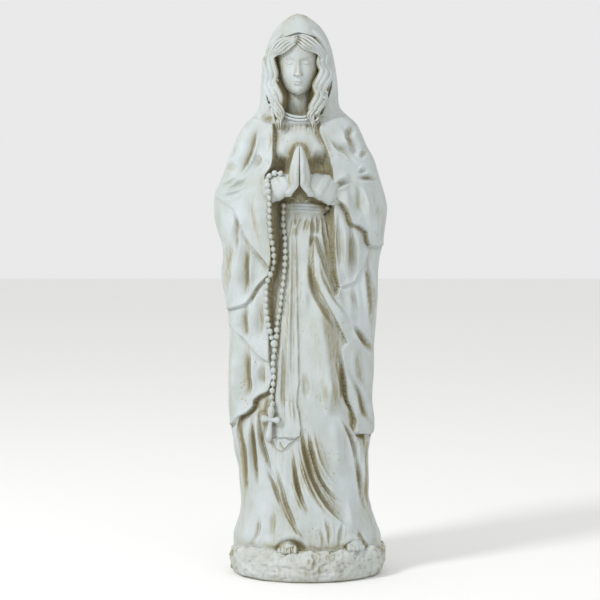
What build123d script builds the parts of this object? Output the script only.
"""Praying Madonna garden statue, a hollow stone-filled resin casting built up from bonded pieces.

Millimetres. +Z is up, the figure faces -Y, and "right" and "left" are the figure's own, so its right
hand is on the -X side. The origin is on the ground under the centre of the statue's bounding box.
Ovals are written (height, left, right, front, back): an ellipse that spans those limits in X and Y.
"""

import os
from math import asin, cos, degrees, pi, sin

from build123d import *

os.makedirs("parts", exist_ok=True)

# Driving dimensions --------------------------------------------------------------------------
WALL = 7.0  # the hollow casting's wall
CLOTH = 6.0  # mantle and veil thickness
LAP = 2.5  # how far one tier of the mantle stands proud of the tier under it
GLUE = 0.2  # adhesive room round a spigot
TOP = 595.0  # top of the veil
WAIST = 384.0  # where the skirt meets the bodice
HEM = 30.0  # top of the plinth, where the skirt's hem stands
FACE_X = -2.5  # the head's centre plane
PALM_X = -1.0  # the plane where the two palms meet
FAR = 90.0  # past every front face, for cutting prisms

PLINTH_CENTRE = (7.5, 0.0)
PLINTH_OVALS = [  # height, half width, half depth
    (0, 79.0, 65.5),
    (5, 82.0, 67.5),
    (14, 82.5, 68.0),
    (23, 81.0, 66.0),
    (HEM, 77.5, 61.5),
]
PLATE_THICK = 5.0
PLATE_RECESS = 1.5  # the plate sits this far up, so that only the plinth's rim touches the ground
PLATE_OVAL = (72.0, 57.5)
REBATE = 4.0  # ledge all round that the plate is glued to
PLINTH_ROOF = 21.0  # top of the wide cavity in the plinth
THROAT_OVAL = (52.0, 38.0)  # the hole that joins the plinth's cavity to the gown's
DRAIN_R = 12.5

SKIRT_OVALS = [
    (HEM, -68, 81, -54, 56),
    (45, -65, 79, -53, 55),
    (60, -61, 75, -51, 53),
    (90, -58.5, 67, -49, 50),
    (130, -60, 65, -48, 48),
    (170, -60, 64.5, -48, 46),
    (220, -56, 61, -47, 43),
    (300, -45, 49, -43, 36),
    (350, -36, 39, -38, 30),
    (WAIST, -31, 33, -33, 26),
]
SKIRT_FOLDS = 16
FOLD_DEPTH = 1.8  # at the hem, fading to the waist

BODICE_OVALS = [
    (WAIST, -31, 33, -33, 26),
    (402, -32, 34, -34, 28),
    (428, -37, 38, -38, 31),
    (452, -42, 43, -38, 33),
    (468, -45, 46, -34, 33),
    (480, -33, 31, -27, 26),
    (486, -19, 15, -20, 16),
]
CAVITY_ROOF = (462, -42, 43, -36, 33)
COLLAR_OVALS = [(478, -20, 15.5, -22, 17), (486.5, -18.5, 13.5, -21.5, 16), (489, -15.5, 10.5, -19, 14)]
SASH_OVALS = [
    (WAIST, -31, 33, -33, 26),
    (WAIST + 4, -31.3, 33.3, -33.3, 26.5),
    (WAIST + 9, -31.5, 33.5, -33.5, 27),
]
SASH_THICK = 2.5
KNOT_CENTRE = (28.5, -25.0, WAIST + 5.5)
KNOT_SIZE = (8.0, 7.0, 11.0)
SASH_TAIL = [  # outline seen from the front, down the right-hand edge and back up
    (8, 383), (2, 350), (0, 300), (-1.5, 250), (-2, 210), (-3.5, 185), (0, 160), (1, 148),
    (-16, 140), (-28, 138), (-30, 150), (-26, 180), (-22, 220), (-18, 270), (-16, 330), (-16, 383),
]

FEET = [  # name, x, tip of toes, half width
    ("foot_right", -13.5, -63.0, 10.5),
    ("foot_left", 57.0, -50.5, 9.5),
]
FOOT_LENGTH = 30.0
TOE_HEIGHT = 10.5

MANTLE_OVALS = [
    (78, -69.5, 79.5, -50, 62),
    (110, -69.5, 77, -51, 61.5),
    (135, -71, 76, -51, 61),
    (156, -74, 77, -51, 60.5),
    (176, -75, 74, -51, 60),
    (215, -75, 75, -51, 59),
    (255, -73.5, 77.5, -51, 57.5),
    (300, -79, 80, -51, 55.5),
    (330, -81, 81, -51, 54),
    (348, -80, 84.5, -51, 53),
    (372, -87, 88, -50, 51.5),
    (397, -89.5, 89.5, -49, 50),
    (412, -88, 87.5, -47, 48.5),
    (432, -80, 81.5, -44, 46.5),
    (448, -74, 76, -41, 45),
    (462, -67, 68.5, -38, 43),
    (475, -59, 60.5, -35, 41),
    (486, -47, 49, -32, 39),
]

VEIL_OVALS = [
    (486, -47, 49, -32, 39),
    (496, -44, 43, -33, 38),
    (512, -43, 40, -36, 37),
    (530, -42, 38.5, -39, 36),
    (546, -40, 36, -41, 34.5),
    (560, -36.5, 32, -40, 32),
    (572, -31.5, 27, -35.5, 27),
    (583, -24.5, 18.5, -27, 19),
    (590, -17, 11, -18, 10.5),
    (TOP, -8, 3, -8, 2),
]

HEAD_OVALS = [
    (482, -13.5, 8.5, -16, 10),
    (498, -13, 8, -17, 13),
    (505, -16.5, 11.5, -36, 15),
    (514, -22.5, 17.5, -41, 19),
    (528, -26.5, 21.5, -42, 25),
    (543, -28.5, 23.5, -40.5, 28),
    (557, -27.5, 22.5, -37, 27),
    (570, -22.5, 17.5, -30, 21),
    (580, -14.5, 9.5, -20, 12),
    (585, -6.5, 1.5, -11, 2),
]


SLEEVE_STATIONS = [(9, -51, 409, 13.5), (24, -42, 407, 14.5), (46, -27, 402, 14), (60, -16, 398, 13)]
SLEEVE_SLANT = 0.6  # how far the forearm runs back for each millimetre it runs out
PALM_OVALS = [  # height, half width over both palms, y of the middle, half depth
    (403, 12, -50, 10),
    (417, 11, -52, 12),
    (430, 9, -55, 11.5),
    (443, 6, -57, 8),
    (452, 2.5, -58, 3.5),
]

HAIR_THICK = 7.0
HAIR_RIGHT = [  # outlines seen from the front
    (FACE_X, 574), (-14, 576), (-40, 556), (-40, 500), (-30, 477), (-17, 477),
    (-16, 496), (-22, 510), (-24, 528), (-20, 546), (-11, 552), (FACE_X, 558),
]
HAIR_LEFT = [
    (FACE_X, 574), (10, 576), (36, 556), (36, 500), (26, 477), (12, 477),
    (11, 496), (17, 510), (19, 528), (15, 546), (6, 552), (FACE_X, 558),
]
FACE_OPENING = [
    (FACE_X, 575), (-14, 570), (-25, 566), (-32, 556), (-34.5, 543), (-31, 520), (-30, 485),
    (24, 485), (25, 520), (29.5, 543), (27, 556), (20, 566), (9, 570),
]

MANTLE_TIERS = [  # name, outline seen from the front, how far it stands proud, the piece it is shaped round
    ("mantle_right_front", [
        (-110, 486), (-26, 486), (-27, 440), (-30, 425), (-30, 330), (-34, 326),
        (-43, 338), (-54, 357), (-66, 381), (-72, 398), (-110, 408),
    ], LAP, "sleeve_right"),
    ("mantle_right_turnback", [
        (-110, 408), (-72, 398), (-66, 381), (-54, 357), (-43, 338), (-34, 326),
        (-44, 311), (-55, 294), (-74, 285), (-110, 284),
    ], LAP / 2, None),
    ("mantle_right_cascade", [
        (-110, 284), (-74, 285), (-55, 294), (-44, 311), (-34, 326), (-30, 330),
        (-30, 290), (-31, 238), (-39, 234), (-50, 247), (-64, 260), (-74, 270), (-110, 272),
    ], 0.0, "skirt"),
    ("mantle_right_hem", [
        (-110, 272), (-74, 270), (-64, 260), (-50, 247), (-39, 234), (-31, 238),
        (-32, 215), (-36, 203), (-48, 193), (-58, 178), (-73, 164), (-110, 160),
    ], -LAP / 2, "skirt"),
    ("mantle_left_front", [
        (110, 486), (20, 486), (20, 470), (28, 450), (32, 430), (34, 405),
        (46, 396), (54, 376), (66, 370), (73, 354), (110, 350),
    ], LAP, "sleeve_left"),
    ("mantle_left_turnback", [
        (110, 350), (73, 354), (66, 370), (54, 376), (46, 396), (34, 405),
        (36, 380), (41, 308), (56, 314), (64, 326), (73, 352), (74, 350),
    ], LAP / 2, "sleeve_left"),
    ("mantle_left_hem", [
        (110, 350), (74, 350), (73, 352), (64, 326), (56, 314), (41, 308),
        (50, 283), (62, 258), (50, 250), (42, 244), (46, 220), (50, 192), (57, 168),
        (55, 153), (74, 152), (110, 156),
    ], 0.0, "skirt"),
    ("mantle_swag", [
        (14, 350), (12.5, 342), (13, 322), (19, 306), (30, 287), (42, 262), (50, 250),
        (62, 258), (50, 283), (41, 308), (32, 318), (25, 333), (18, 356),
    ], 0.0, "skirt"),
]

BEAD = 6.2
BEAD_GAP = 0.6
BEAD_PROUD = 1.2  # how far a bead's centre stands off the cloth
ROSARY_STRANDS = [  # name, route of (x, z) points seen from the front, bead diameter
    ("rosary_wrist_beads", [(-33, 422), (-28.5, 427), (-22, 427)], BEAD),
    ("rosary_outer_beads", [
        (-33.5, 414), (-32.5, 392), (-32, 370), (-29, 349), (-28, 332), (-34, 315), (-36, 290),
        (-34, 268), (-31, 256),
    ], BEAD),
    ("rosary_inner_beads", [
        (-18, 394), (-18.5, 374), (-16.5, 352), (-16.5, 326), (-19.5, 301), (-22.5, 277), (-25, 257),
    ], BEAD),
    ("rosary_centre_bead", [(-27, 248), (-27, 247)], 8.4),
    ("rosary_drop_beads", [(-27, 240), (-28.5, 225), (-27.5, 210), (-29.5, 188)], BEAD),
]
BAR = 5.5
CRUCIFIX_CENTRE = (-31.5, 160.0)
CRUCIFIX_HEIGHT = 34.0
CRUCIFIX_SPAN = 19.0
CRUCIFIX_ARM_RISE = 5.0


# Shared forms --------------------------------------------------------------------------------
def oval_loft(ovals, grow=0.0):
    """A solid ruled from oval to oval, each grown outwards all round by grow."""
    with BuildPart() as form:
        for height, left, right, front, back in ovals:
            with BuildSketch(Plane.XY.offset(height)):
                with Locations(((left + right) / 2, (front + back) / 2)):
                    Ellipse((right - left) / 2 + grow, (back - front) / 2 + grow)
        loft(ruled=True)
    return form.part


def pleated_loft(ovals, folds, depth):
    """Like oval_loft, scalloped into rounded folds that run up its height and fade towards the top."""
    bottom, top = ovals[0][0], ovals[-1][0]
    with BuildPart() as form:
        for height, left, right, front, back in ovals:
            swing = depth * (1.3 - (height - bottom) / (top - bottom))
            points = []
            for i in range(2 * folds):
                angle = pi * i / folds
                out = swing if i % 2 else -swing
                across = (left + right) / 2 + ((right - left) / 2 + out) * cos(angle)
                along = (front + back) / 2 + ((back - front) / 2 + out) * sin(angle)
                points.append((across, along))
            with BuildSketch(Plane.XY.offset(height)):
                with BuildLine():
                    for valley in range(0, 2 * folds, 2):
                        ThreePointArc(points[valley], points[valley + 1], points[valley + 2 - 2 * folds])
                make_face()
        loft(ruled=True)
    return form.part


def front_prism(outline):
    """A prism over an outline of (x, z) points, from the middle of the figure out past its front."""
    with BuildPart() as prism:
        with BuildSketch(Plane.XZ):
            with BuildLine():
                Polyline(*outline, close=True)
            make_face()
        extrude(amount=FAR)
    return prism.part


# Whole forms that several pieces are cut from or against -------------------------------------
skirt_form = pleated_loft(SKIRT_OVALS, SKIRT_FOLDS, FOLD_DEPTH)
bodice_form = oval_loft(BODICE_OVALS)
mantle_inside = oval_loft(MANTLE_OVALS, -CLOTH)
veil_form = oval_loft(VEIL_OVALS)
veil_inside = oval_loft(VEIL_OVALS[:-1], -CLOTH)
head_form = oval_loft(HEAD_OVALS)

pieces = {}


def finish(name, part):
    """Labels a finished piece and writes its STEP file."""
    part.label = name
    pieces[name] = part
    export_step(part, f"parts/{name}.step")


# Plinth: a rocky oval ring that the gown's hem stands on ---------------------------------------
with BuildPart() as plinth:
    for height, half_width, half_depth in PLINTH_OVALS:
        with BuildSketch(Plane.XY.offset(height)):
            with Locations(PLINTH_CENTRE):
                Ellipse(half_width, half_depth)
    loft()
    with BuildSketch(Plane.XY):
        with Locations(PLINTH_CENTRE):
            Ellipse(*PLATE_OVAL)
    extrude(amount=PLATE_RECESS + PLATE_THICK, mode=Mode.SUBTRACT)
    with BuildSketch(Plane.XY):
        with Locations(PLINTH_CENTRE):
            Ellipse(PLATE_OVAL[0] - REBATE, PLATE_OVAL[1] - REBATE)
    extrude(amount=PLINTH_ROOF, mode=Mode.SUBTRACT)
    with BuildSketch(Plane.XY):
        with Locations(PLINTH_CENTRE):
            Ellipse(*THROAT_OVAL)
    extrude(amount=HEM, mode=Mode.SUBTRACT)
finish("plinth", plinth.part)

# The plate that closes the underside, with the hole for a ground stake or for draining
with BuildPart() as base_plate:
    with BuildSketch(Plane.XY.offset(PLATE_RECESS)):
        with Locations(PLINTH_CENTRE):
            Ellipse(PLATE_OVAL[0] - GLUE, PLATE_OVAL[1] - GLUE)
            Circle(DRAIN_R, mode=Mode.SUBTRACT)
    extrude(amount=PLATE_THICK)
finish("base_plate", base_plate.part)

# Feet: the toes that show under the hem --------------------------------------------------------
feet = {}
for name, toe_x, toe_y, half_width in FEET:
    with BuildPart() as foot:
        with BuildSketch(Plane.XY.offset(HEM)):
            with Locations((toe_x, toe_y + FOOT_LENGTH / 2)):
                RectangleRounded(2 * half_width, FOOT_LENGTH, half_width * 0.7)
        extrude(amount=TOE_HEIGHT)
        fillet(foot.faces().sort_by(Axis.Z)[-1].edges(), TOE_HEIGHT * 0.45)
    feet[name] = foot.part
    finish(name, foot.part)

# Gown: a pleated hollow skirt, and a hollow bodice that stands on it ---------------------------
with BuildPart() as gown_skirt:
    add(skirt_form)
    add(oval_loft(SKIRT_OVALS, -WALL), mode=Mode.SUBTRACT)
    for foot_part in feet.values():
        add(foot_part, mode=Mode.SUBTRACT)
finish("gown_skirt", gown_skirt.part)

with BuildPart() as gown_bodice:
    add(bodice_form)
    add(oval_loft(BODICE_OVALS[:4] + [CAVITY_ROOF], -WALL), mode=Mode.SUBTRACT)
    add(oval_loft(HEAD_OVALS[:2], GLUE), mode=Mode.SUBTRACT)
finish("gown_bodice", gown_bodice.part)

with BuildPart() as collar:
    add(oval_loft(COLLAR_OVALS))
    add(bodice_form, mode=Mode.SUBTRACT)
    add(head_form, mode=Mode.SUBTRACT)
finish("collar", collar.part)

# Sash: a band round the waist, its knot, and a long tail down the front of the skirt -----------
with BuildPart() as sash_band:
    add(oval_loft(SASH_OVALS, SASH_THICK))
    add(bodice_form, mode=Mode.SUBTRACT)
finish("sash_band", sash_band.part)

with BuildPart() as sash_knot:
    with BuildSketch(Plane(origin=KNOT_CENTRE).offset(-KNOT_SIZE[2] / 2)):
        Ellipse(KNOT_SIZE[0] / 2, KNOT_SIZE[1] / 2)
    extrude(amount=KNOT_SIZE[2])
    add(sash_band.part, mode=Mode.SUBTRACT)
    add(bodice_form, mode=Mode.SUBTRACT)
finish("sash_knot", sash_knot.part)

with BuildPart() as sash_tail:
    add(oval_loft(SKIRT_OVALS[2:], SASH_THICK + FOLD_DEPTH))
    add(front_prism(SASH_TAIL), mode=Mode.INTERSECT)
    add(skirt_form, mode=Mode.SUBTRACT)
finish("sash_tail", sash_tail.part)

# Sleeves and hands: forearms that meet at the middle of the chest, palms together --------------
sleeves = {}
for name, side in (("sleeve_right", -1), ("sleeve_left", 1)):
    with BuildPart() as sleeve:
        for centre_x, centre_y, centre_z, radius in SLEEVE_STATIONS:
            station = Plane(
                origin=(PALM_X + side * centre_x, centre_y, centre_z),
                x_dir=(0, 1, 0),
                z_dir=(side, SLEEVE_SLANT, 0),
            )
            with BuildSketch(station):
                Circle(radius)
        loft()
        add(bodice_form, mode=Mode.SUBTRACT)
        add(sash_band.part, mode=Mode.SUBTRACT)
    sleeves[name] = sleeve.part

with BuildPart() as palms:
    for height, half_width, centre_y, half_depth in PALM_OVALS:
        with BuildSketch(Plane.XY.offset(height)):
            with Locations((PALM_X, centre_y)):
                Ellipse(half_width, half_depth)
    loft()
    add(bodice_form, mode=Mode.SUBTRACT)

hands = {}
for name, keep in (("hand_right", Keep.BOTTOM), ("hand_left", Keep.TOP)):
    with BuildPart() as hand:
        add(palms.part)
        split(bisect_by=Plane.YZ.offset(PALM_X), keep=keep)
    hands[name] = hand.part
    finish(name, hand.part)

for name, sleeve_part in sleeves.items():
    with BuildPart() as cuffed_sleeve:
        add(sleeve_part)
        add(palms.part, mode=Mode.SUBTRACT)
    sleeves[name] = cuffed_sleeve.part
    finish(name, cuffed_sleeve.part)

# Head, with its neck glued down into the bodice, and the hair that frames the face --------------
with BuildPart() as head:
    add(head_form)
finish("head", head.part)

hair = {}
for name, outline in (("hair_right", HAIR_RIGHT), ("hair_left", HAIR_LEFT)):
    with BuildPart() as locks:
        add(oval_loft(HEAD_OVALS[2:], HAIR_THICK))
        add(front_prism(outline), mode=Mode.INTERSECT)
        add(head_form, mode=Mode.SUBTRACT)
    hair[name] = locks.part
    finish(name, locks.part)

# Veil: a hood open at the face, standing on the mantle's top edge ------------------------------
with BuildPart() as veil:
    add(veil_form)
    add(veil_inside, mode=Mode.SUBTRACT)
    add(front_prism(FACE_OPENING), mode=Mode.SUBTRACT)
    add(head_form, mode=Mode.SUBTRACT)
    for locks_part in hair.values():
        add(locks_part, mode=Mode.SUBTRACT)
finish("veil", veil.part)

# Mantle: one sheet down the back, and overlapping tiers down each side of the front -------------
under_mantle = {"skirt": skirt_form, **sleeves}

with BuildPart() as mantle_back:
    add(oval_loft(MANTLE_OVALS))
    add(mantle_inside, mode=Mode.SUBTRACT)
    with BuildSketch(Plane.XZ):
        Rectangle(4 * FAR, 4 * TOP)
    extrude(amount=2 * FAR, mode=Mode.SUBTRACT)
finish("mantle_back", mantle_back.part)

for name, outline, proud, covers in MANTLE_TIERS:
    with BuildPart() as tier:
        add(oval_loft(MANTLE_OVALS, proud))
        add(front_prism(outline), mode=Mode.INTERSECT)
        if name != "mantle_swag":
            add(mantle_inside, mode=Mode.SUBTRACT)
        if covers:
            add(under_mantle[covers], mode=Mode.SUBTRACT)
    finish(name, tier.part)

# Rosary: beads and crucifix in relief on the cloth ---------------------------------------------
cloth_front = [
    skirt_form, bodice_form, sash_tail.part, sleeves["sleeve_right"], pieces["mantle_right_front"],
]


def front_of_cloth(across, up):
    """The cloth's foremost place seen from the front at (x, z), and the direction it faces there."""
    sight = Axis((across, -4 * FAR, up), (0, 1, 0))
    hits = [hit for cloth in cloth_front for hit in cloth.find_intersection_points(sight)]
    place, normal = min(hits, key=lambda hit: hit[0].Y)
    return place, normal if normal.Y < 0 else -normal


def bead_strand(route, diameter, pitch):
    """Beads in relief, evenly spaced along a hand-laid route of (x, z) points."""
    line = Spline(*[(across, 0, up) for across, up in route])
    steps = round(line.length / pitch)
    sunk = degrees(asin(BEAD_PROUD / (diameter / 2)))  # latitude where the cloth cuts a bead
    spots = [line @ (i / max(steps, 1)) for i in range(steps + 1)]
    with BuildPart() as strand:
        for spot in spots:
            place, outward = front_of_cloth(spot.X, spot.Z)
            with Locations(Plane(origin=place, z_dir=outward).location):
                Sphere(diameter / 2, arc_size1=-sunk, align=(Align.CENTER, Align.CENTER, Align.MIN))
    return strand.part


for name, route, diameter in ROSARY_STRANDS:
    finish(name, bead_strand(route, diameter, diameter + BEAD_GAP))

with BuildPart() as crucifix:
    level = front_of_cloth(*CRUCIFIX_CENTRE)[0].Y
    with BuildSketch(Plane.XZ.offset(-level)):
        with Locations(CRUCIFIX_CENTRE):
            Rectangle(BAR, CRUCIFIX_HEIGHT)
        with Locations((CRUCIFIX_CENTRE[0], CRUCIFIX_CENTRE[1] + CRUCIFIX_ARM_RISE)):
            Rectangle(CRUCIFIX_SPAN, BAR)
    extrude(amount=BAR / 2, both=True)
    for cloth in cloth_front:
        add(cloth, mode=Mode.SUBTRACT)
finish("crucifix", crucifix.part)
